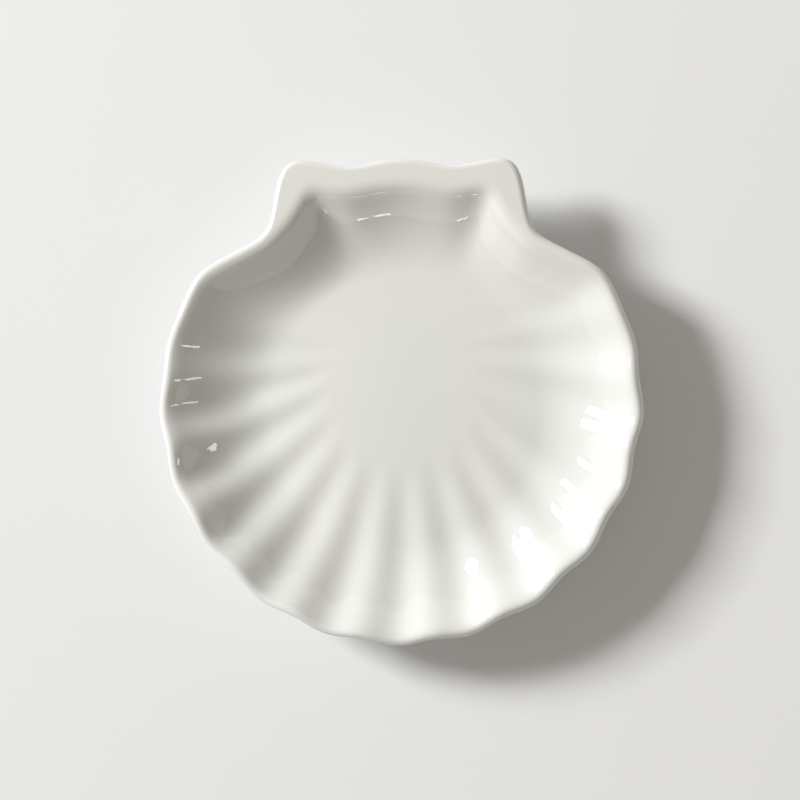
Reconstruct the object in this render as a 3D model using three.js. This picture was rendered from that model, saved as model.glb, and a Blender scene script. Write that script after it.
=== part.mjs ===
// A scallop-shell dish in glazed porcelain: a round fan of a bowl with fifteen soft flutes, a wavy hinge
// with two ears at the back, and a ring foot underneath. Millimetres, +Z up.
// The origin is on the table under the middle of the fan. +Y points to the hinge, and the two sides of the
// dish mirror each other across the plane X = 0.

import * as THREE from "three";
import { LoftGeometry } from "three/addons/geometries/LoftGeometry.js";

const { clamp, degToRad, lerp, smoothstep } = THREE.MathUtils;

// The bowl
const FAN_RADIUS = 75.2; // from the middle of the fan to the crests of its scalloped rim
const RIM_HEIGHT = 23; // from the table to the top of the lip
const WALL = 3.6; // thickness of the body, and so the width of its round lip
const FLOOR_RADIUS = 41.5; // of the round floor that the wall climbs from
const FLOOR_SHIFT = 2; // of that round towards the front
const FLOOR_CROWN = 1.2; // how much the floor swells at the middle of the fan
const CROWN_RADIUS = 50; // where that swelling has died away
const LEDGE_ROUND = 3; // softness of the edge between the wall and the hinge's ledge

// The flutes: one at the front of the fan and seven to each side, all running out from one focus
const FLUTES_PER_SIDE = 7;
const FLUTE_PITCH = degToRad(17.4);
const FLUTE_DEPTH = 1.9; // at the rim, square to the wall
const FLUTE_LENGTH = 52; // from the rim to where a flute has died away in the floor
const FLUTE_FADE = 3; // how many flutes grow fainter towards each shoulder
const FOCUS_OFFSET = 14.8; // from the middle of the fan towards the hinge

// The shoulders: the straight edges where the fan draws in to the hinge
const SHOULDER_REACH = 64; // from the middle of the fan, square to the edge
const SHOULDER_TILT = degToRad(27); // between that direction and +Y
const SHOULDER_ROUND = 4; // softness of the corner between rim and shoulder

// The hinge and its two ears
const HINGE_RISE = 9.8; // how much further from the middle of the fan the back edge lies than the shoulders
const HINGE_WIDTH = 74; // across the ears, along the back edge
const HINGE_WAVE = 2; // how far the wavy back edge dips
const HINGE_WAVE_LENGTH = 34;
const HINGE_LEDGE = 6; // level band behind the middle of the bowl's opening
const HINGE_BOW = 50; // radius of the opening's back
const HINGE_ROUND = 10; // softness of the change from that back to the rim
const EAR_LEAN = degToRad(9.3); // how much the ears' sides spread towards the fan
const EAR_CORNER = 12; // softness of the ears' corners
const NECK_ROUND = 10; // softness of the inside corner between ear and shoulder
const POUCH_REACH = 5.5; // how far the opening bulges into each ear
const POUCH_TURN = degToRad(23.5); // from +Y to the middle of the bulge, about the middle of the fan
const POUCH_WIDTH = degToRad(6.5); // from there to where it bulges a third as far

// The ring foot
const FOOT_RADIUS = 32; // to the middle of the standing rim
const FOOT_HEIGHT = 6;
const FOOT_LAND = 2.4; // width of the flat standing rim
const FOOT_COVE = 2; // how far the foot spreads on each side where it meets the bowl
const COVE_HEIGHT = 3.6; // from the bowl down to where the foot's sides stand upright
const SEAT_MARGIN = 3; // flat of the bowl's underside that goes on past the foot
const SEAT_FADE = 12; // how far the underside then takes to swell into the flutes

// Facets
const RIM_POINTS = 196;
const RIM_SAMPLES = 1568; // along the rim's curve, to space those points evenly
const INSIDE_ROWS = 16;
const OUTSIDE_ROWS = 9;
const LIP_ROWS = 5;
const ROW_CROWDING = 1.4; // above 1, rows stand closer together towards the rim
const FIRST_ROW = 0.08; // the row next to the focus, as a share of the way to the rim
const FOOT_SEGMENTS = 72;
const COVE_POINTS = 5;

const GLAZED_PORCELAIN = { color: 0xeeece6, roughness: 0.12, metalness: 0 };
const BARE_PORCELAIN = { color: 0xe6e1d6, roughness: 0.8, metalness: 0 };

const DIFFERENCE_STEP = 1e-4;
const GRAZING_COSINE = 0.05;

// Derived sizes
const lipRadius = WALL / 2;
const rimMiddle = RIM_HEIGHT - lipRadius;
const floorMiddle = FOOT_HEIGHT + lipRadius;
const wallRise = rimMiddle - floorMiddle;
const fanRun = FAN_RADIUS - lipRadius - FLOOR_RADIUS;
const scallop = FLUTE_DEPTH * Math.sin(wallSlope(1));
const focus = new THREE.Vector2(0, FOCUS_OFFSET);
const hingeReach = SHOULDER_REACH + HINGE_RISE;
const bowCentre = hingeReach - lipRadius - HINGE_LEDGE - HINGE_BOW;
const earNormal = Math.PI / 2 - EAR_LEAN;
const earReach = (HINGE_WIDTH / 2) * Math.cos(EAR_LEAN) + hingeReach * Math.sin(EAR_LEAN);
const seatRadius = FOOT_RADIUS + FOOT_LAND / 2 + FOOT_COVE + SEAT_MARGIN;

// Minimum and maximum with a rounded change-over
function smoothMin(a, b, roundness) {
  const overlap = Math.max(roundness - Math.abs(a - b), 0) / Math.max(roundness, Number.EPSILON);
  return Math.min(a, b) - (overlap ** 3 * roundness) / 6;
}

function smoothMax(a, b, roundness) {
  return -smoothMin(-a, -b, roundness);
}

// A straight edge seen from the middle of the fan: its distance at an angle from its own normal
function edgeDistance(reach, fromNormal) {
  return reach / Math.max(Math.cos(fromNormal), GRAZING_COSINE);
}

// The fan and its shoulders in plan, without scallops, out to the middle of the lip
function fanRadius(fromHinge) {
  const shoulder = edgeDistance(SHOULDER_REACH - lipRadius, Math.max(fromHinge - SHOULDER_TILT, 0));
  return smoothMin(FAN_RADIUS - scallop - lipRadius, shoulder, SHOULDER_ROUND);
}

// The hinge and its ears in plan, out to the middle of the lip
function earRadius(fromHinge) {
  const wave = (2 * Math.PI * hingeReach * Math.tan(fromHinge)) / HINGE_WAVE_LENGTH;
  const dip = (HINGE_WAVE * (1 - Math.cos(wave))) / 2;
  const back = edgeDistance(hingeReach - dip - lipRadius, fromHinge);
  const side = edgeDistance(earReach - lipRadius, fromHinge - earNormal);
  return smoothMin(back, side, EAR_CORNER);
}

function rimRadius(fromHinge) {
  const fan = fanRadius(fromHinge);
  return fromHinge < Math.PI / 2 ? smoothMax(fan, earRadius(fromHinge), NECK_ROUND) : fan;
}

// The middle of the lip in plan. The angle runs from 0 at the front to plus or minus PI at the hinge.
function rimPoint(angle) {
  const radius = rimRadius(Math.PI - Math.abs(angle));
  return new THREE.Vector2(radius * Math.sin(angle), -radius * Math.cos(angle));
}

class RimCurve extends THREE.Curve {
  getPoint(share, target = new THREE.Vector2()) {
    return target.copy(rimPoint(lerp(-Math.PI, Math.PI, share)));
  }
}

// The bowl's opening in plan, where the wall has come up to the rim or to the hinge's ledge: a bowed back
// between the shoulders, straight on from there, with a pouch into each ear
function openingRadius(fromHinge) {
  const bowTurn = Math.min(fromHinge, SHOULDER_TILT);
  const bowAside = bowCentre * Math.sin(bowTurn);
  const bow = bowCentre * Math.cos(bowTurn) + Math.sqrt(HINGE_BOW ** 2 - bowAside ** 2);
  const pouch = POUCH_REACH * Math.exp(-(((fromHinge - POUCH_TURN) / POUCH_WIDTH) ** 2));
  const back = edgeDistance(bow, Math.max(fromHinge - SHOULDER_TILT, 0)) + pouch;
  return smoothMin(rimRadius(fromHinge), back, HINGE_ROUND);
}

// A place in plan: the share runs along a spoke, from 0 at the focus to 1 at the rim
function planPoint(share, angle) {
  return focus.clone().lerp(rimPoint(angle), share);
}

// How far the wall has climbed at a place: 0 on the floor, 1 at the opening
function wallClimb(plan) {
  const fromHinge = Math.atan2(Math.abs(plan.x), plan.y);
  const floor = FLOOR_RADIUS - FLOOR_SHIFT * Math.cos(fromHinge);
  return Math.max(plan.length() - floor, 0) / (openingRadius(fromHinge) - floor);
}

function wallSlope(climb) {
  return Math.atan2(2 * wallRise * Math.min(climb, 1), fanRun);
}

function crownHeight(plan) {
  return FLOOR_CROWN * Math.max(1 - plan.lengthSq() / CROWN_RADIUS ** 2, 0) ** 2;
}

// The smooth bowl halfway through its wall: a crowned floor, a wall that curves up to its opening, and a ledge
// from there to the hinge's rim
function bowlPoint(share, angle) {
  const plan = planPoint(share, angle);
  const wall = floorMiddle + wallRise * wallClimb(plan) ** 2;
  const height = smoothMin(wall, rimMiddle, LEDGE_ROUND) + crownHeight(plan);
  return new THREE.Vector3(plan.x, plan.y, height);
}

// Depth of the flutes, square to the wall
function fluteDepth(share, angle) {
  const inward = (1 - share) * rimPoint(angle).distanceTo(focus);
  const growth = clamp(1 - inward / FLUTE_LENGTH, 0, 1);
  const wave = (1 + Math.cos((2 * Math.PI * angle) / FLUTE_PITCH)) / 2;
  const flutesLeft = FLUTES_PER_SIDE + 0.5 - Math.abs(angle) / FLUTE_PITCH;
  return FLUTE_DEPTH * growth * wave * smoothstep(flutesLeft, 0, FLUTE_FADE);
}

// How far the flutes move the body, out along the spoke and down
function fluteOffset(share, angle) {
  const slope = wallSlope(wallClimb(planPoint(share, angle)));
  const flute = fluteDepth(share, angle);
  const out = rimPoint(angle).sub(focus).setLength(flute * Math.sin(slope));
  return new THREE.Vector3(out.x, out.y, -flute * Math.cos(slope));
}

// The fluted middle surface at one place, with its upward normal and the direction out across the rim
function bodyFrame(share, angle) {
  const along = bowlPoint(share, angle + DIFFERENCE_STEP).sub(bowlPoint(share, angle - DIFFERENCE_STEP));
  const spoke = bowlPoint(share + DIFFERENCE_STEP, angle).sub(bowlPoint(share - DIFFERENCE_STEP, angle));
  const normal = spoke.cross(along).normalize();
  const outward = along.cross(normal).normalize();
  const middle = bowlPoint(share, angle).add(fluteOffset(share, angle));
  return { middle, normal, outward };
}

function insidePoint(share, angle) {
  const { middle, normal } = bodyFrame(share, angle);
  return middle.addScaledVector(normal, lipRadius);
}

// Where a spoke crosses the edge of the flat seat that the foot stands on
function seatShare(angle) {
  const spoke = rimPoint(angle).sub(focus);
  const half = focus.dot(spoke) / spoke.lengthSq();
  return Math.sqrt(half ** 2 + (seatRadius ** 2 - focus.lengthSq()) / spoke.lengthSq()) - half;
}

// The underside, from 0 at the edge of the seat to 1 at the rim, where it has come to follow the inside
function outsidePoint(step, angle) {
  const share = lerp(seatShare(angle), 1, step);
  const { middle, normal } = bodyFrame(share, angle);
  const point = middle.addScaledVector(normal, -lipRadius);
  const pastSeat = planPoint(share, angle).length() - seatRadius;
  point.z = lerp(FOOT_HEIGHT, point.z, smoothstep(pastSeat, 0, SEAT_FADE));
  return point;
}

// The half-round lip: a turn of 0 is its inner edge and PI its outer edge
function lipPoint(turn, angle) {
  const { middle, normal, outward } = bodyFrame(1, angle);
  middle.addScaledVector(normal, lipRadius * Math.cos(turn));
  return middle.addScaledVector(outward, lipRadius * Math.sin(turn));
}

// Rows from a first share of the way to the rim itself, closer together towards the rim
function rowShares(first, rows) {
  return Array.from({ length: rows }, (_, row) => lerp(1, first, (1 - row / (rows - 1)) ** ROW_CROWDING));
}

function makeShellBody() {
  const rim = new RimCurve();
  rim.arcLengthDivisions = RIM_SAMPLES;
  const angles = Array.from({ length: RIM_POINTS }, (_, index) => {
    return lerp(Math.PI, -Math.PI, rim.getUtoTmapping(index / RIM_POINTS));
  });
  const lipTurns = Array.from({ length: LIP_ROWS }, (_, row) => (Math.PI * (row + 1)) / (LIP_ROWS + 1));
  const ring = (place, at) => angles.map((angle) => place(at, angle));
  const floorTop = floorMiddle + lipRadius + crownHeight(focus);
  const sections = [
    ring(() => new THREE.Vector3(focus.x, focus.y, floorTop)),
    ...rowShares(FIRST_ROW, INSIDE_ROWS).map((share) => ring(insidePoint, share)),
    ...lipTurns.map((turn) => ring(lipPoint, turn)),
    ...rowShares(0, OUTSIDE_ROWS).reverse().map((step) => ring(outsidePoint, step)),
    ring(() => new THREE.Vector3(focus.x, focus.y, FOOT_HEIGHT)),
  ];
  return new LoftGeometry(sections, { closed: true });
}

// A flat standing rim with upright sides and a cove on each side under the bowl
function makeFootRing() {
  const inner = FOOT_RADIUS - FOOT_LAND / 2;
  const outer = FOOT_RADIUS + FOOT_LAND / 2;
  const coveStart = FOOT_HEIGHT - COVE_HEIGHT;
  const section = new THREE.Path();
  section.moveTo(inner, 0);
  section.lineTo(outer, 0);
  section.lineTo(outer, coveStart);
  section.quadraticCurveTo(outer, FOOT_HEIGHT, outer + FOOT_COVE, FOOT_HEIGHT);
  section.lineTo(inner - FOOT_COVE, FOOT_HEIGHT);
  section.quadraticCurveTo(inner, FOOT_HEIGHT, inner, coveStart);
  section.lineTo(inner, 0);
  return new THREE.LatheGeometry(section.getPoints(COVE_POINTS), FOOT_SEGMENTS).rotateX(Math.PI / 2);
}

function makePiece(name, geometry, finish) {
  const piece = new THREE.Mesh(geometry, new THREE.MeshStandardMaterial(finish));
  piece.name = name;
  return piece;
}

const shellDish = new THREE.Group();
shellDish.name = "shell_dish";
shellDish.add(makePiece("shell_body", makeShellBody(), GLAZED_PORCELAIN));
shellDish.add(makePiece("foot_ring", makeFootRing(), BARE_PORCELAIN));

export default shellDish;
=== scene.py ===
import math

import bmesh
import bpy
from bpy.props import FloatProperty, FloatVectorProperty, IntProperty, PointerProperty
from mathutils import Matrix, Vector


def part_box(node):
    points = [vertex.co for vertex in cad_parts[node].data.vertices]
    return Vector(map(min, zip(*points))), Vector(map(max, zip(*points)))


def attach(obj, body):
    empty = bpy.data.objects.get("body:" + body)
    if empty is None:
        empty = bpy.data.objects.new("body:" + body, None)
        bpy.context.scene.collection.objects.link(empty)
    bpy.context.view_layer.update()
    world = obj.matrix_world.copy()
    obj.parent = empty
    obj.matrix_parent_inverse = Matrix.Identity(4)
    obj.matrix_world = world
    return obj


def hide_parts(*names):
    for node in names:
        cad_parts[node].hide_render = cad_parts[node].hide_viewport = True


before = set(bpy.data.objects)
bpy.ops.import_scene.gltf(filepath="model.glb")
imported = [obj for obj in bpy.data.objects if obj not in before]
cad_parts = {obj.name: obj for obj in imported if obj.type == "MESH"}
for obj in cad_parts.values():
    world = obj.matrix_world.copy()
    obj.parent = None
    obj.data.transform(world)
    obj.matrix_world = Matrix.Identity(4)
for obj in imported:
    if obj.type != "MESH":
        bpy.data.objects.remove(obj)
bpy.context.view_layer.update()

bl_info = {
    "name": "Scallop shell dish",
    "version": (1, 0, 0),
    "blender": (4, 5, 0),
    "location": "View3D > Sidebar > Shell dish",
    "description": "Builds a fluted porcelain shell dish, its ring foot and a plain studio",
    "category": "Add Mesh",
}

FOOT_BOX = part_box("foot_ring")
SHELL_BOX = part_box("shell_body")

# Steps by which the wall's slope is measured, and limits that keep it finite
ANGLE_STEP = 0.002
SHARE_STEP = 0.002
HUB_SHARE = 0.05
GRAZING_COSINE = 0.05
PAST_LIP = 0.999

# Finish of the meshes
MERGE_DISTANCE = 1e-6
EDGE_STEPS = 6
COVE_STEPS = 12
LINE_SPREAD = 0.1

# Glaze: waves to the metre, how much each shows, and relief in metres, which the bare clay shares
SKIN_RELIEF = 0.000012
GLAZE_IOR = 1.52
GLAZE_ROUGHNESS = 0.006
GLAZE_HAZE = 0.02
CLOUD_WAVES = 55.0
CLOUD_TINT = 0.5
CLOUD_CLEAR = 0.1
CLOUD_RELIEF = 2.0
RIPPLE_WAVES = 330.0
POOL_TINT = 0.8
# How strongly edges of thinner glaze take their darker colour, which at the rim is also painted shade on the
# lamp-lit lip
EDGE_TINT_AND_SHADE = 0.8

# Bare clay, and the wavering line at which the glaze was wiped off it
GRIT_WAVES = 2600.0
GRIT_ROUGHNESS = 0.25
CLAY_ROUGHNESS = 0.62
STAIN_WAVES = 90.0
STAIN_CLEAR = 0.35
STAIN_SHADE = 0.8
WIPE_WAVES = 160.0
WIPE_WAVER = 0.0004
WIPE_EDGE = 0.00008
WIPE_BAND = 0.0008
FOOT_POOLING = 0.3

# Floor
FLOOR_ROUGHNESS = 0.9
FLOOR_SHEEN = 0.1

# Sockets of a Mix node when it mixes colours
MIX_FIRST = 6
MIX_SECOND = 7
MIX_RESULT = 2


# Properties

def length(label, description, default):
    return FloatProperty(
        name=label, description=description, default=default, min=0.0, precision=4, unit="LENGTH"
    )


def angle(label, description, degrees):
    return FloatProperty(
        name=label, description=description, default=math.radians(degrees), subtype="ANGLE"
    )


def number(label, description, default):
    return FloatProperty(name=label, description=description, default=default, min=0.0)


def power(label, description, default):
    return FloatProperty(name=label, description=description, default=default, min=0.0, unit="POWER")


def count(label, description, default):
    return IntProperty(name=label, description=description, default=default, min=1)


def colour(label, description, default):
    return FloatVectorProperty(
        name=label, description=description, default=default, size=3, min=0.0, max=1.0, subtype="COLOR"
    )


class ShellSizes(bpy.types.PropertyGroup):
    """The fluted body: bowl, flutes, shoulders, hinge and ears."""

    fan_radius: length("Fan radius", "From the middle of the fan to the crests of its rim", 0.0752)
    rim_height: length("Rim height", "From the table to the top of the lip", SHELL_BOX[1].z)
    wall: length("Wall", "Thickness of the body, and twice the radius of its lip", 0.0036)
    floor_radius: length("Floor radius", "Of the round floor that the wall climbs from", 0.0415)
    floor_shift: length("Floor shift", "Of that round towards the front", 0.002)
    ledge_round: length("Ledge round", "Softness of the edge between the hinge's ledge and the wall", 0.003)
    floor_crown: length("Floor crown", "How far the middle of the floor swells up", 0.0012)
    crown_radius: length("Crown radius", "Where that swelling has died away", 0.050)

    flutes_per_side: count("Flutes per side", "Flutes on each side of the front one", 7)
    flute_pitch: angle("Flute pitch", "Angle between neighbouring flutes", 17.4)
    flute_depth: length("Flute depth", "Depth at the rim, square to the wall", 0.0019)
    flute_length: length("Flute length", "From the rim to where a flute has died away", 0.052)
    flute_fade: number("Flute fade", "How many flutes grow fainter towards each shoulder", 3)
    focus_offset: length("Focus offset", "From the middle of the fan to where flutes meet", 0.0148)

    shoulder_reach: length("Shoulder reach", "From the middle of the fan, square to the edge", 0.0640)
    shoulder_tilt: angle("Shoulder tilt", "Between that direction and the hinge", 27)
    shoulder_round: length("Shoulder round", "Softness of the corner of rim and shoulder", 0.004)

    hinge_reach: length("Hinge reach", "From the middle of the fan to the back edge", SHELL_BOX[1].y)
    hinge_width: length("Hinge width", "Across the ears, along the back edge", 0.074)
    hinge_wave: length("Hinge wave", "How far the wavy back edge dips", 0.002)
    hinge_wave_length: length("Hinge wave length", "From one dip to the next", 0.034)
    hinge_ledge: length("Hinge ledge", "Level band behind the middle of the opening", 0.006)
    hinge_bow: length("Hinge bow", "Radius of the opening's back", 0.050)
    hinge_round: length("Hinge round", "Softness of the change from that back to the rim", 0.010)
    ear_lean: angle("Ear lean", "How much the ears' sides spread towards the fan", 9.3)
    ear_corner: length("Ear corner", "Softness of the ears' corners", 0.012)
    neck_round: length("Neck round", "Softness of the corner of ear and shoulder", 0.010)
    pouch_reach: length("Pouch reach", "How far the opening bulges into each ear", 0.0055)
    pouch_turn: angle("Pouch turn", "From the hinge's middle to a bulge, about the middle of the fan", 23.5)
    pouch_width: angle("Pouch width", "From there to where it bulges a third as far", 6.5)

    foot_height: length("Foot height", "From the table to the underside", FOOT_BOX[1].z)
    seat_radius: length("Seat radius", "Flat of the underside that the foot stands on", 0.0382)
    seat_fade: length("Seat fade", "How far the underside then takes to swell into flutes", 0.012)
    # Band inside the rim of thinner glaze, whose darker colour there is also painted shade that tones down
    # the lamp-lit lip
    thin_glaze_and_shade_band: length("Glaze thinning", "Band inside the rim where the glaze runs thin", 0.003)

    around: count("Points around", "Points of the mesh round the rim", 720)
    inside_rows: count("Inside rows", "Rows of faces from the focus to the lip", 66)
    lip_rows: count("Lip rows", "Rows of faces over the round lip", 12)
    outside_rows: count("Outside rows", "Rows of faces from the lip to the middle underneath", 40)
    row_crowding: number("Row crowding", "Above 1, rows stand closer together at the rim", 1.4)


class FootSizes(bpy.types.PropertyGroup):
    """The ring foot that the dish stands on."""

    radius: length("Radius", "To the middle of the standing rim", 0.032)
    land: length("Land", "Width of the flat standing rim", 0.0024)
    cove: length("Cove", "How far the foot spreads where it meets the bowl", 0.002)
    cove_height: length("Cove height", "From the bowl down to where the sides stand upright", 0.0036)
    land_round: length("Land round", "Radius of the edges of the standing rim", 0.0004)
    glaze_line: length("Glaze line", "Height at which the glaze was wiped off", 0.0009)
    glaze_roll: length("Glaze roll", "How far the glaze stands proud along that line", 0.00012)
    segments: count("Segments", "Faces round the ring", 288)


class Finish(bpy.types.PropertyGroup):
    """Colours of the glaze and of the bare body."""

    glaze: colour("Glaze", "White glaze over the porcelain", (0.788, 0.795, 0.772))
    pooled: colour("Pooled glaze", "Where the glaze lies thick in a flute", (0.770, 0.784, 0.765))
    # Darker, warmer colour of thinner glaze at edges; on the rim it is also painted shade that tones down the
    # lamp-lit lip
    thin_and_shaded: colour("Thin glaze", "Where the glaze ran off an edge", (0.776, 0.777, 0.748))
    bare: colour("Bare porcelain", "Unglazed body on the standing rim", (0.720, 0.685, 0.620))


class Studio(bpy.types.PropertyGroup):
    """Camera, lamps and floor."""

    floor: colour("Floor", "The plain floor", (0.826, 0.837, 0.850))
    floor_reach: length("Floor reach", "From the dish to the end of the floor", 6.0)
    sky: colour("Sky", "What the fill light looks like", (1.0, 0.932, 0.828))
    fill: number("Fill", "Strength of the soft light from all round", 0.318)
    ceiling: number("Ceiling", "How bright the glaze mirrors what is above the backdrop", 0.08)
    backdrop_height: angle("Backdrop height", "Top edge of the backdrop that the glaze mirrors", 25)
    key_power: power("Key power", "Light of the main lamp", 102.5)
    key_distance: length("Key distance", "From the dish to the main lamp", 3.0)
    key_width: length("Key width", "Side of the main lamp", 0.8)
    key_turn: angle("Key turn", "Direction of the main lamp in plan, from +X", 155.5)
    key_height: angle("Key height", "Main lamp above the table", 33)
    window_distance: length("Window distance", "From the dish to the two narrow windows", 1.5)
    side_turn: angle("Side window turn", "Direction of the side window in plan, from +X", -14)
    side_height: angle("Side window height", "Side window above the table", 33.5)
    side_width: length("Side window width", "Across", 0.085)
    side_depth: length("Side window depth", "Up and down", 0.26)
    side_power: power("Side window power", "Light of the side window", 0.55)
    front_turn: angle("Front window turn", "Direction of the front window in plan, from +X", -92)
    front_height: angle("Front window height", "Front window above the table", 25.5)
    front_width: length("Front window width", "Across", 0.13)
    front_depth: length("Front window depth", "Up and down", 0.035)
    front_power: power("Front window power", "Light of the front window", 0.14)
    camera_distance: length("Camera distance", "From the middle of the rim to the camera", 0.9)
    camera_turn: angle("Camera turn", "Side to which the camera leans, from +X", -15)
    camera_lean: angle("Camera lean", "How far the camera is from straight above", 9)
    camera_aim: FloatVectorProperty(
        name="Camera aim",
        description="Middle of the picture",
        default=(0.0009, -0.0003, 0.023),
        unit="LENGTH",
    )
    view_width: length("View width", "What the picture takes in at the height of the rim", 0.2440)


class ShellDish(bpy.types.PropertyGroup):
    """Everything that can be set on the dish."""

    shell: PointerProperty(type=ShellSizes)
    foot: PointerProperty(type=FootSizes)
    finish: PointerProperty(type=Finish)
    studio: PointerProperty(type=Studio)


# Nodes

class Field:
    """A number or a vector that varies over a piece. Arithmetic with it adds Math nodes to its tree.

    Calling it with the name of a Math operation adds that node, as in angle("COSINE").
    """

    def __init__(self, socket):
        self.socket = socket
        self.tree = socket.id_data

    def __call__(self, operation, *others):
        return Field(add_node(self.tree, "ShaderNodeMath", self, *others, operation=operation).outputs[0])

    def vector(self, operation, *others):
        node = add_node(self.tree, "ShaderNodeVectorMath", self, *others, operation=operation)
        return Field(node.outputs["Vector"])

    def part(self, axis):
        return Field(add_node(self.tree, "ShaderNodeSeparateXYZ", self).outputs[axis])

    def rise(self, low, high):
        """A smooth step from 0 at the low value to 1 at the high one."""
        feeds = (self, low, high, 0.0, 1.0)
        node = add_node(self.tree, "ShaderNodeMapRange", *feeds, interpolation_type="SMOOTHSTEP")
        return Field(node.outputs["Result"])

    def __add__(self, other):
        return self("ADD", other)

    def __sub__(self, other):
        return self("SUBTRACT", other)

    def __mul__(self, other):
        return self("MULTIPLY", other)

    def __truediv__(self, other):
        return self("DIVIDE", other)

    def __pow__(self, other):
        return self("POWER", other)

    def __rsub__(self, other):
        return self * -1.0 + other

    def __rmul__(self, other):
        return self * other

    __radd__ = __add__


def add_node(tree, kind, *feeds, **settings):
    """A new node, set up, with its first inputs fed by fields or plain values."""
    node = tree.nodes.new(kind)
    for setting, value in settings.items():
        setattr(node, setting, value)
    for socket, value in zip(node.inputs, feeds):
        feed(socket, value)
    return node


def feed(socket, value):
    if isinstance(value, Field):
        socket.id_data.links.new(value.socket, socket)
    else:
        socket.default_value = value


def blend(start, end, share):
    return start + (end - start) * share


def combine(tree, x, y, z):
    return Field(add_node(tree, "ShaderNodeCombineXYZ", x, y, z).outputs["Vector"])


class Group:
    """A node group in the making. A size that one of its formulas asks for becomes a named input."""

    def __init__(self, name, sizes=None, kind="GeometryNodeTree"):
        self.tree = bpy.data.node_groups.new(name, kind)
        self.entry = self.tree.nodes.new("NodeGroupInput")
        self.exit = self.tree.nodes.new("NodeGroupOutput")
        self.sizes = sizes
        self.sized = {}

    def input(self, label, kind="NodeSocketFloat"):
        if label not in self.entry.outputs:
            self.tree.interface.new_socket(label, in_out="INPUT", socket_type=kind)
        return Field(self.entry.outputs[label])

    def output(self, label, field, kind="NodeSocketFloat"):
        self.tree.interface.new_socket(label, in_out="OUTPUT", socket_type=kind)
        feed(self.exit.inputs[label], field)

    def size(self, name):
        info = self.sizes.bl_rna.properties[name]
        self.sized[info.name] = name
        return self.input(info.name, "NodeSocketInt" if info.type == "INT" else "NodeSocketFloat")

    def call(self, inner, output, **feeds):
        """One output of another group, fed by name, with the sizes it asks for passed on."""
        node = add_node(self.tree, "GeometryNodeGroup", node_tree=inner.tree)
        for label, field in feeds.items():
            feed(node.inputs[label], field)
        for label, name in inner.sized.items():
            feed(node.inputs[label], self.size(name))
        return Field(node.outputs[output])


# The shell's formulas

def lip_radius(size):
    return size("wall") * 0.5


def floor_middle(size):
    return size("foot_height") + lip_radius(size)


def rim_middle(size):
    return size("rim_height") - lip_radius(size)


def wall_rise(size):
    return rim_middle(size) - floor_middle(size)


def wall_slope(size, climb):
    """The wall's angle to the floor, from 0 where it starts to its steepest at a climb of 1."""
    run = size("fan_radius") - lip_radius(size) - size("floor_radius")
    return (wall_rise(size) * 2.0 * climb)("ARCTAN2", run)


def scallop(size):
    return size("flute_depth") * wall_slope(size, 1.0)("SINE")


def ear_reach(size):
    lean = size("ear_lean")
    return size("hinge_width") * 0.5 * lean("COSINE") + size("hinge_reach") * lean("SINE")


def ear_normal(size):
    return math.pi / 2 - size("ear_lean")


def edge_distance(reach, from_normal):
    """A straight edge seen from the middle of the fan, at an angle from its own normal."""
    return reach / from_normal("COSINE")("MAXIMUM", GRAZING_COSINE)


def outline_group(sizes):
    """The dish in plan, without its scallops and drawn in by the lip: a radius at an angle from the front."""
    group = Group("Shell outline", sizes)
    size = group.size
    inset = lip_radius(size)
    from_hinge = math.pi - group.input("Angle")("ABSOLUTE")
    off_shoulder = (from_hinge - size("shoulder_tilt"))("MAXIMUM", 0.0)
    shoulder = edge_distance(size("shoulder_reach") - inset, off_shoulder)
    fan = (size("fan_radius") - scallop(size) - inset)("SMOOTH_MIN", shoulder, size("shoulder_round"))
    hinge_side = from_hinge("MINIMUM", math.pi / 2)
    wave = hinge_side("TANGENT") * size("hinge_reach") / size("hinge_wave_length") * math.tau
    dip = (1.0 - wave("COSINE")) * size("hinge_wave") * 0.5
    back = edge_distance(size("hinge_reach") - dip - inset, hinge_side)
    side = edge_distance(ear_reach(size) - inset, hinge_side - ear_normal(size))
    ear = back("SMOOTH_MIN", side, size("ear_corner"))
    radius = fan("SMOOTH_MAX", ear, size("neck_round"))
    bow_centre = size("hinge_reach") - inset - size("hinge_ledge") - size("hinge_bow")
    bow_turn = from_hinge("MINIMUM", size("shoulder_tilt"))
    bow_aside = bow_centre * bow_turn("SINE")
    bow_half = (size("hinge_bow") ** 2.0 - bow_aside * bow_aside)("SQRT")
    bow = edge_distance(bow_centre * bow_turn("COSINE") + bow_half, off_shoulder)
    off_pouch = (from_hinge - size("pouch_turn")) / size("pouch_width")
    pouch = size("pouch_reach") * (off_pouch * off_pouch * -1.0)("EXPONENT")
    group.output("Radius", radius)
    group.output("Opening", radius("SMOOTH_MIN", bow + pouch, size("hinge_round")))
    return group


def crown_height(size, x, y):
    """The floor's gentle swelling towards the middle of the fan."""
    share = (1.0 - (x * x + y * y) / size("crown_radius") ** 2.0)("MAXIMUM", 0.0)
    return size("floor_crown") * share * share


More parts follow.
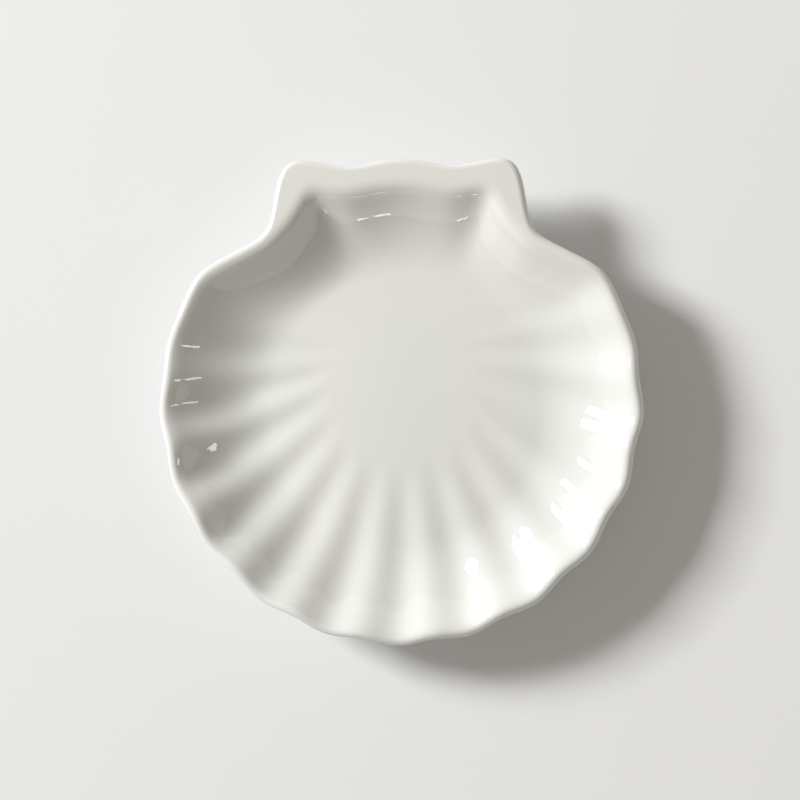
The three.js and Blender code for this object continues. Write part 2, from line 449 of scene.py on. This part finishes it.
def bowl_group(sizes, outline):
    """The smooth bowl halfway through its wall, at a share of the spoke from the focus to the rim."""
    group = Group("Smooth bowl", sizes)
    size = group.size
    share = group.input("Share")
    turn = group.input("Angle")
    radius = group.call(outline, "Radius", Angle=turn)
    spoke_x = radius * turn("SINE")
    spoke_y = radius * turn("COSINE") * -1.0 - size("focus_offset")
    spoke = (spoke_x * spoke_x + spoke_y * spoke_y)("SQRT")
    inward = (1.0 - share) * spoke
    x = share * spoke_x
    y = share * spoke_y + size("focus_offset")
    place_turn = x("ARCTAN2", y * -1.0)
    opening = group.call(outline, "Opening", Angle=place_turn)
    floor = size("floor_radius") + size("floor_shift") * place_turn("COSINE")
    climb = ((x * x + y * y)("SQRT") - floor)("MAXIMUM", 0.0) / (opening - floor)
    wall = blend(floor_middle(size), rim_middle(size), climb * climb)
    height = wall("SMOOTH_MIN", rim_middle(size), size("ledge_round")) + crown_height(size, x, y)
    group.output("Place", combine(group.tree, x, y, height), "NodeSocketVector")
    group.output("Climb", climb("MINIMUM", 1.0))
    group.output("Spoke", combine(group.tree, spoke_x / spoke, spoke_y / spoke, 0.0), "NodeSocketVector")
    group.output("Inward", inward)
    return group


def flute_group(sizes):
    """How far the flutes sink the body, split into outward and down."""
    group = Group("Flutes", sizes)
    size = group.size
    growth = (1.0 - group.input("Inward") / size("flute_length"))("MAXIMUM", 0.0)
    turns = group.input("Angle")("ABSOLUTE") / size("flute_pitch")
    wave = ((turns * math.tau)("COSINE") + 1.0) * 0.5
    fluted = growth * wave * (size("flutes_per_side") + 0.5 - turns).rise(0.0, size("flute_fade"))
    slope = wall_slope(size, group.input("Climb"))
    depth = fluted * size("flute_depth")
    group.output("Outward", depth * slope("SINE"))
    group.output("Down", depth * slope("COSINE"))
    group.output("Pooling", fluted)
    return group


def shell_tree(sizes, glaze):
    """Geometry nodes for the whole body: inside, round lip and underside as one closed skin."""
    outline = outline_group(sizes)
    bowl = bowl_group(sizes, outline)
    flutes = flute_group(sizes)
    group = Group("Fluted shell", sizes)
    tree = group.tree
    size = group.size
    rows = size("inside_rows") + size("lip_rows") + size("outside_rows")
    grid = add_node(tree, "GeometryNodeMeshGrid", 1.0, 1.0, size("around") + 1.0, rows + 1.0)
    spot = Field(add_node(tree, "GeometryNodeInputPosition").outputs["Position"])
    turn = spot.part("X") * -math.tau
    row = (spot.part("Y") + 0.5) * rows
    way_out = (row / size("inside_rows"))("MINIMUM", (rows - row) / size("outside_rows"))
    share = 1.0 - (1.0 - way_out("MINIMUM", 1.0))("MAXIMUM", 0.0) ** size("row_crowding")
    lip_share = ((row - size("inside_rows")) / size("lip_rows"))("MAXIMUM", 0.0)("MINIMUM", 1.0)
    lip_turn = lip_share * math.pi

    def bowl_place(at_share, at_angle):
        return group.call(bowl, "Place", Share=at_share, Angle=at_angle)

    # All points of a hub share one normal, so that they fall together and close it
    off_hub = share("MAXIMUM", HUB_SHARE)
    one_turn = turn * share("GREATER_THAN", 0.0)
    along = bowl_place(off_hub, one_turn + ANGLE_STEP)
    along = along.vector("SUBTRACT", bowl_place(off_hub, one_turn - ANGLE_STEP))
    spoke = bowl_place(off_hub + SHARE_STEP, one_turn)
    spoke = spoke.vector("SUBTRACT", bowl_place(off_hub - SHARE_STEP, one_turn))
    normal = spoke.vector("CROSS_PRODUCT", along).vector("NORMALIZE")
    outward = along.vector("CROSS_PRODUCT", normal).vector("NORMALIZE")

    smooth_place = bowl_place(share, turn)
    inward = group.call(bowl, "Inward", Share=share, Angle=turn)
    climb = group.call(bowl, "Climb", Share=share, Angle=turn)
    at = {"Inward": inward, "Angle": turn, "Climb": climb}
    sink_out = group.call(flutes, "Outward", **at)
    sink_down = group.call(flutes, "Down", **at)
    spoke_way = group.call(bowl, "Spoke", Share=share, Angle=turn)
    middle = spoke_way.vector("MULTIPLY_ADD", sink_out, smooth_place)
    middle = middle.vector("SUBTRACT", combine(tree, 0.0, 0.0, sink_down))
    radius = lip_radius(size)
    skin = normal.vector("MULTIPLY_ADD", lip_turn("COSINE") * radius, middle)
    skin = outward.vector("MULTIPLY_ADD", lip_turn("SINE") * radius, skin)

    x, y, z = (skin.part(axis) for axis in "XYZ")
    past_seat = (x * x + y * y)("SQRT") - size("seat_radius")
    seated = (1.0 - past_seat.rise(0.0, size("seat_fade"))) * lip_share("GREATER_THAN", PAST_LIP)
    skin = combine(tree, x, y, blend(z, size("foot_height"), seated))

    shaped = add_node(tree, "GeometryNodeSetPosition", Field(grid.outputs["Mesh"]))
    feed(shaped.inputs["Position"], skin)
    pooling = group.call(flutes, "Pooling", **at)
    # Mask of the band inside the rim: thinner glaze, whose darker colour is also painted shade on the
    # lamp-lit lip
    thinning_and_shade = 1.0 - inward.rise(0.0, size("thin_glaze_and_shade_band"))
    mesh = Field(shaped.outputs["Geometry"])
    for name, field in (("glaze_pooling", pooling), ("thin_glaze_and_shade_band", thinning_and_shade)):
        stored = add_node(tree, "GeometryNodeStoreNamedAttribute", mesh, data_type="FLOAT", domain="POINT")
        stored.inputs["Name"].default_value = name
        feed(stored.inputs["Value"], field)
        mesh = Field(stored.outputs["Geometry"])
    merged = add_node(tree, "GeometryNodeMergeByDistance", mesh)
    merged.inputs["Distance"].default_value = MERGE_DISTANCE
    smooth = add_node(tree, "GeometryNodeSetShadeSmooth", Field(merged.outputs["Geometry"]))
    real = add_node(tree, "GeometryNodeRealizeInstances", Field(smooth.outputs["Geometry"]))
    finished = add_node(tree, "GeometryNodeSetMaterial", Field(real.outputs["Geometry"]))
    finished.inputs["Material"].default_value = glaze
    group.output("Geometry", Field(finished.outputs["Geometry"]), "NodeSocketGeometry")
    return group


# Materials

def new_material(name):
    material = bpy.data.materials.new(name)
    material.use_nodes = True
    return material, material.node_tree, material.node_tree.nodes["Principled BSDF"]


def noise(tree, waves, detail=2.0):
    """Smooth noise around 0.5 in the piece's own space, with so many waves to the metre."""
    place = add_node(tree, "ShaderNodeTexCoord").outputs["Object"]
    node = add_node(tree, "ShaderNodeTexNoise")
    tree.links.new(place, node.inputs["Vector"])
    node.inputs["Scale"].default_value = waves
    node.inputs["Detail"].default_value = detail
    return Field(node.outputs["Fac"])


def mix_colours(tree, share, first, second):
    node = add_node(tree, "ShaderNodeMix", share, data_type="RGBA")
    feed(node.inputs[MIX_FIRST], first)
    feed(node.inputs[MIX_SECOND], second)
    return Field(node.outputs[MIX_RESULT])


def opaque(rgb):
    return (*rgb, 1.0)


def glaze_skin():
    """Shader group: fired glaze, with cloudy mottling, pools, darker edges of thinner glaze that at the rim
    are also painted shade, and a faint ripple.
    """
    found = bpy.data.node_groups.get("Glaze skin")
    if found:
        return found
    group = Group("Glaze skin", kind="ShaderNodeTree")
    tree = group.tree
    glaze = group.input("Glaze", "NodeSocketColor")
    pooled = group.input("Pooled", "NodeSocketColor")
    thin_and_shaded = group.input("Thin", "NodeSocketColor")
    pooling = group.input("Pooling")
    thinning_and_shade = group.input("Thinning")
    clouds = noise(tree, CLOUD_WAVES, detail=3.0)
    ripple = noise(tree, RIPPLE_WAVES)
    depth = (pooling * POOL_TINT + clouds * CLOUD_TINT - CLOUD_CLEAR)("MAXIMUM", 0.0)
    tint = mix_colours(tree, depth, glaze, pooled)
    # Edges of thinner glaze take the darker colour; at the rim this is also painted shade on the lamp-lit lip
    tint = mix_colours(tree, thinning_and_shade * EDGE_TINT_AND_SHADE, tint, thin_and_shaded)
    group.output("Colour", tint, "NodeSocketColor")
    group.output("Roughness", clouds * GLAZE_HAZE + thinning_and_shade * GLAZE_HAZE + GLAZE_ROUGHNESS)
    group.output("Height", ripple + clouds * CLOUD_RELIEF)
    return tree


def clay_grain():
    """Shader group: bare fired body, fine and dry, with small grit and faint stains."""
    group = Group("Clay grain", kind="ShaderNodeTree")
    tree = group.tree
    body = group.input("Body", "NodeSocketColor")
    dirt = group.input("Dirt", "NodeSocketColor")
    grit = noise(tree, GRIT_WAVES, detail=4.0)
    stain = (noise(tree, STAIN_WAVES, detail=3.0) - STAIN_CLEAR)("MAXIMUM", 0.0)
    group.output("Colour", mix_colours(tree, stain, body, dirt), "NodeSocketColor")
    group.output("Roughness", grit * GRIT_ROUGHNESS + CLAY_ROUGHNESS)
    group.output("Height", grit)
    return tree


def place_group(tree, group, **feeds):
    node = add_node(tree, "ShaderNodeGroup", node_tree=group)
    for label, value in feeds.items():
        feed(node.inputs[label], value)
    return node


def bump(tree, height):
    node = add_node(tree, "ShaderNodeBump")
    feed(node.inputs["Height"], height)
    node.inputs["Distance"].default_value = SKIN_RELIEF
    node.inputs["Strength"].default_value = 1.0
    return Field(node.outputs["Normal"])


def attribute(tree, name):
    return Field(add_node(tree, "ShaderNodeAttribute", attribute_name=name).outputs["Fac"])


def place_glaze(tree, finish, pooling, thinning_and_shade):
    return place_group(
        tree,
        glaze_skin(),
        Glaze=opaque(finish.glaze),
        Pooled=opaque(finish.pooled),
        Thin=opaque(finish.thin_and_shaded),
        Pooling=pooling,
        Thinning=thinning_and_shade,
    )


def glazed_porcelain(finish):
    material, tree, shader = new_material("glazed_porcelain")
    skin = place_glaze(tree, finish, attribute(tree, "glaze_pooling"), attribute(tree, "thin_glaze_and_shade_band"))
    feed(shader.inputs["Base Color"], Field(skin.outputs["Colour"]))
    feed(shader.inputs["Roughness"], Field(skin.outputs["Roughness"]))
    feed(shader.inputs["Normal"], bump(tree, Field(skin.outputs["Height"])))
    shader.inputs["IOR"].default_value = GLAZE_IOR
    return material


def bare_porcelain(finish, foot):
    """The foot's material: glazed above a wavering line, bare below it."""
    material, tree, shader = new_material("bare_porcelain")
    place = Field(add_node(tree, "ShaderNodeTexCoord").outputs["Object"])
    above = place.part("Z") - foot.glaze_line + (noise(tree, WIPE_WAVES) - 0.5) * WIPE_WAVER
    glazed = above.rise(-WIPE_EDGE, WIPE_EDGE)
    skin = place_glaze(tree, finish, FOOT_POOLING, 1.0 - above.rise(0.0, WIPE_BAND))
    dirt = tuple(STAIN_SHADE * part for part in finish.bare)
    clay = place_group(tree, clay_grain(), Body=opaque(finish.bare), Dirt=opaque(dirt))
    tint = mix_colours(tree, glazed, Field(clay.outputs["Colour"]), Field(skin.outputs["Colour"]))
    feed(shader.inputs["Base Color"], tint)
    rough = blend(Field(clay.outputs["Roughness"]), Field(skin.outputs["Roughness"]), glazed)
    feed(shader.inputs["Roughness"], rough)
    height = blend(Field(clay.outputs["Height"]), Field(skin.outputs["Height"]), glazed)
    feed(shader.inputs["Normal"], bump(tree, height))
    shader.inputs["IOR"].default_value = GLAZE_IOR
    return material


def plain_floor(studio):
    """Matt and plain, and clear when seen from below."""
    material, tree, shader = new_material("plain_floor")
    shader.inputs["Base Color"].default_value = opaque(studio.floor)
    shader.inputs["Roughness"].default_value = FLOOR_ROUGHNESS
    shader.inputs["Specular IOR Level"].default_value = FLOOR_SHEEN
    below = add_node(tree, "ShaderNodeNewGeometry").outputs["Backfacing"]
    clear = add_node(tree, "ShaderNodeBsdfTransparent")
    both = add_node(tree, "ShaderNodeMixShader", Field(below))
    tree.links.new(shader.outputs[0], both.inputs[1])
    tree.links.new(clear.outputs[0], both.inputs[2])
    tree.links.new(both.outputs[0], tree.nodes["Material Output"].inputs["Surface"])
    return material


# Pieces

def add_to_scene(name, data):
    thing = bpy.data.objects.new(name, data)
    bpy.context.scene.collection.objects.link(thing)
    return thing


def stand_for(piece, node):
    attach(piece, "root")
    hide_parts(node)


def mesh_from_tree(name, group, sizes):
    """A plain mesh object made by a node group, its inputs set from the sizes."""
    piece = add_to_scene(name, bpy.data.meshes.new(name))
    modifier = piece.modifiers.new(group.tree.name, "NODES")
    modifier.node_group = group.tree
    for item in group.tree.interface.items_tree:
        if item.in_out == "INPUT":
            modifier[item.identifier] = getattr(sizes, group.sized[item.name])
    depsgraph = bpy.context.evaluated_depsgraph_get()
    mesh = bpy.data.meshes.new_from_object(piece.evaluated_get(depsgraph))
    piece.modifiers.clear()
    piece.data = mesh
    mesh.name = name
    return piece


def foot_section(foot, top):
    """Half of the foot's closed section, as distances from the middle of its land and heights."""
    half = foot.land / 2
    edge = foot.land_round
    line = foot.glaze_line
    side = half + foot.glaze_roll
    cove_start = top - foot.cove_height
    points = [(half - edge, 0.0)]
    for step in range(1, EDGE_STEPS + 1):
        turn = step / EDGE_STEPS * math.pi / 2
        points.append((half - edge + edge * math.sin(turn), edge - edge * math.cos(turn)))
    points += [(half, line * (1 - LINE_SPREAD)), (side, line * (1 + LINE_SPREAD)), (side, cove_start)]
    for step in range(1, COVE_STEPS + 1):
        share = step / COVE_STEPS
        points.append((side + foot.cove * share**2, cove_start + foot.cove_height * (2 - share) * share))
    return points


def make_foot_ring(foot, top, material):
    """A ring turned from its section: flat bare land, a roll of glaze above it and coved sides."""
    half = foot_section(foot, top)
    section = [(foot.radius + x, z) for x, z in half] + [(foot.radius - x, z) for x, z in reversed(half)]
    ring = bmesh.new()
    profile = [ring.verts.new((x, 0.0, z)) for x, z in section]
    edges = [ring.edges.new(pair) for pair in zip(profile, profile[1:] + profile[:1])]
    bmesh.ops.spin(
        ring, geom=profile + edges, cent=(0, 0, 0), axis=(0, 0, 1), angle=math.tau, steps=foot.segments
    )
    bmesh.ops.remove_doubles(ring, verts=ring.verts, dist=MERGE_DISTANCE)
    bmesh.ops.recalc_face_normals(ring, faces=ring.faces)
    mesh = bpy.data.meshes.new("foot_ring_fired")
    ring.to_mesh(mesh)
    ring.free()
    mesh.shade_smooth()
    mesh.materials.append(material)
    return add_to_scene("foot_ring_fired", mesh)


# Studio

def make_floor(studio, foot):
    """A wide round floor, open inside the foot so that the recess under the dish can be seen from below."""
    around = foot.segments
    turns = [step / around * math.tau for step in range(around)]
    hole = foot.radius + foot.land / 2 - foot.land_round
    points = [
        (radius * math.cos(turn), radius * math.sin(turn), 0.0)
        for radius in (hole, studio.floor_reach)
        for turn in turns
    ]
    faces = [(i, i + around, (i + 1) % around + around, (i + 1) % around) for i in range(around)]
    mesh = bpy.data.meshes.new("floor")
    mesh.from_pydata(points, [], faces)
    mesh.materials.append(plain_floor(studio))
    add_to_scene("floor", mesh)


def make_sky(studio):
    world = bpy.data.worlds.new("Soft fill")
    world.use_nodes = True
    bpy.context.scene.world = world
    tree = world.node_tree
    tree.nodes.clear()
    path = add_node(tree, "ShaderNodeLightPath")
    height = Field(add_node(tree, "ShaderNodeNewGeometry").outputs["Incoming"]).part("Z") * -1.0
    mirrored = Field(path.outputs["Is Glossy Ray"]) * height("LESS_THAN", math.sin(studio.backdrop_height))
    seen = Field(path.outputs["Is Camera Ray"])("MAXIMUM", mirrored)
    strength = blend(studio.fill, studio.ceiling, Field(path.outputs["Is Glossy Ray"]))
    light = add_node(tree, "ShaderNodeBackground", opaque(studio.sky), strength)
    backdrop = add_node(tree, "ShaderNodeBackground", opaque(studio.floor), 1.0)
    both = add_node(tree, "ShaderNodeMixShader", seen)
    tree.links.new(light.outputs[0], both.inputs[1])
    tree.links.new(backdrop.outputs[0], both.inputs[2])
    end = add_node(tree, "ShaderNodeOutputWorld")
    tree.links.new(both.outputs[0], end.inputs["Surface"])


def add_lamp(name, turn, height, distance, width, depth, watts):
    """A rectangular lamp that faces the dish from a direction in plan and a height above the table."""
    lamp = bpy.data.lights.new(name, "AREA")
    lamp.shape = "RECTANGLE"
    lamp.size = width
    lamp.size_y = depth
    lamp.energy = watts
    towards = Vector((math.cos(turn) * math.cos(height), math.sin(turn) * math.cos(height), math.sin(height)))
    facing = towards.to_track_quat("Z", "Y").to_matrix().to_4x4()
    add_to_scene(name, lamp).matrix_world = Matrix.Translation(towards * distance) @ facing


def make_key(studio):
    add_lamp(
        "key_lamp",
        studio.key_turn,
        studio.key_height,
        studio.key_distance,
        studio.key_width,
        studio.key_width,
        studio.key_power,
    )


def make_windows(studio):
    """Two narrow windows, weak beside the key lamp, that show as glints in the glaze."""
    for side in ("side", "front"):
        turn, height, width, depth, watts = (
            getattr(studio, f"{side}_{name}") for name in ("turn", "height", "width", "depth", "power")
        )
        add_lamp(f"{side}_window", turn, height, studio.window_distance, width, depth, watts)


def make_camera(studio):
    camera = bpy.data.cameras.new("camera")
    camera.lens = camera.sensor_width * studio.camera_distance / studio.view_width
    lean, turn = studio.camera_lean, studio.camera_turn
    away = Vector((math.sin(lean) * math.cos(turn), math.sin(lean) * math.sin(turn), math.cos(lean)))
    thing = add_to_scene("camera", camera)
    right = Vector((1, 0, 0)) - away * away.x
    right.normalize()
    frame_of_view = Matrix((right, away.cross(right), away)).transposed()
    place = Vector(studio.camera_aim) + away * studio.camera_distance
    thing.matrix_world = Matrix.Translation(place) @ frame_of_view.to_4x4()
    bpy.context.scene.camera = thing


# Operators and panel

class SHELLDISH_OT_shell_body(bpy.types.Operator):
    """Make the fluted body with its hinge and ears, glazed all over"""

    bl_idname = "shelldish.shell_body"
    bl_label = "Shell body"

    def execute(self, context):
        dish = context.scene.shell_dish
        tree = shell_tree(dish.shell, glazed_porcelain(dish.finish))
        piece = mesh_from_tree("shell_body_glazed", tree, dish.shell)
        stand_for(piece, "shell_body")
        return {"FINISHED"}


class SHELLDISH_OT_foot_ring(bpy.types.Operator):
    """Make the ring foot, bare where it stands"""

    bl_idname = "shelldish.foot_ring"
    bl_label = "Foot ring"

    def execute(self, context):
        dish = context.scene.shell_dish
        material = bare_porcelain(dish.finish, dish.foot)
        piece = make_foot_ring(dish.foot, dish.shell.foot_height, material)
        stand_for(piece, "foot_ring")
        return {"FINISHED"}


class SHELLDISH_OT_studio(bpy.types.Operator):
    """Make the floor, the lamps and the camera"""

    bl_idname = "shelldish.studio"
    bl_label = "Studio"

    def execute(self, context):
        studio = context.scene.shell_dish.studio
        make_floor(studio, context.scene.shell_dish.foot)
        make_sky(studio)
        make_key(studio)
        make_windows(studio)
        make_camera(studio)
        context.scene.view_settings.view_transform = "Standard"
        return {"FINISHED"}


class SHELLDISH_PT_sidebar(bpy.types.Panel):
    """Sizes and buttons of the shell dish"""

    bl_idname = "SHELLDISH_PT_sidebar"
    bl_label = "Shell dish"
    bl_space_type = "VIEW_3D"
    bl_region_type = "UI"
    bl_category = "Shell dish"

    def draw(self, context):
        dish = context.scene.shell_dish
        for operator, group in (
            (SHELLDISH_OT_shell_body, dish.shell),
            (SHELLDISH_OT_foot_ring, dish.foot),
            (None, dish.finish),
            (SHELLDISH_OT_studio, dish.studio),
        ):
            box = self.layout.box()
            if operator:
                box.operator(operator.bl_idname)
            for name in group.__annotations__:
                box.prop(group, name)


CLASSES = (
    ShellSizes,
    FootSizes,
    Finish,
    Studio,
    ShellDish,
    SHELLDISH_OT_shell_body,
    SHELLDISH_OT_foot_ring,
    SHELLDISH_OT_studio,
    SHELLDISH_PT_sidebar,
)


def register():
    for cls in CLASSES:
        bpy.utils.register_class(cls)
    bpy.types.Scene.shell_dish = PointerProperty(type=ShellDish)


def unregister():
    del bpy.types.Scene.shell_dish
    for cls in reversed(CLASSES):
        bpy.utils.unregister_class(cls)


def main():
    register()
    bpy.ops.shelldish.shell_body()
    bpy.ops.shelldish.foot_ring()
    bpy.ops.shelldish.studio()


if __name__ == "__main__":
    main()
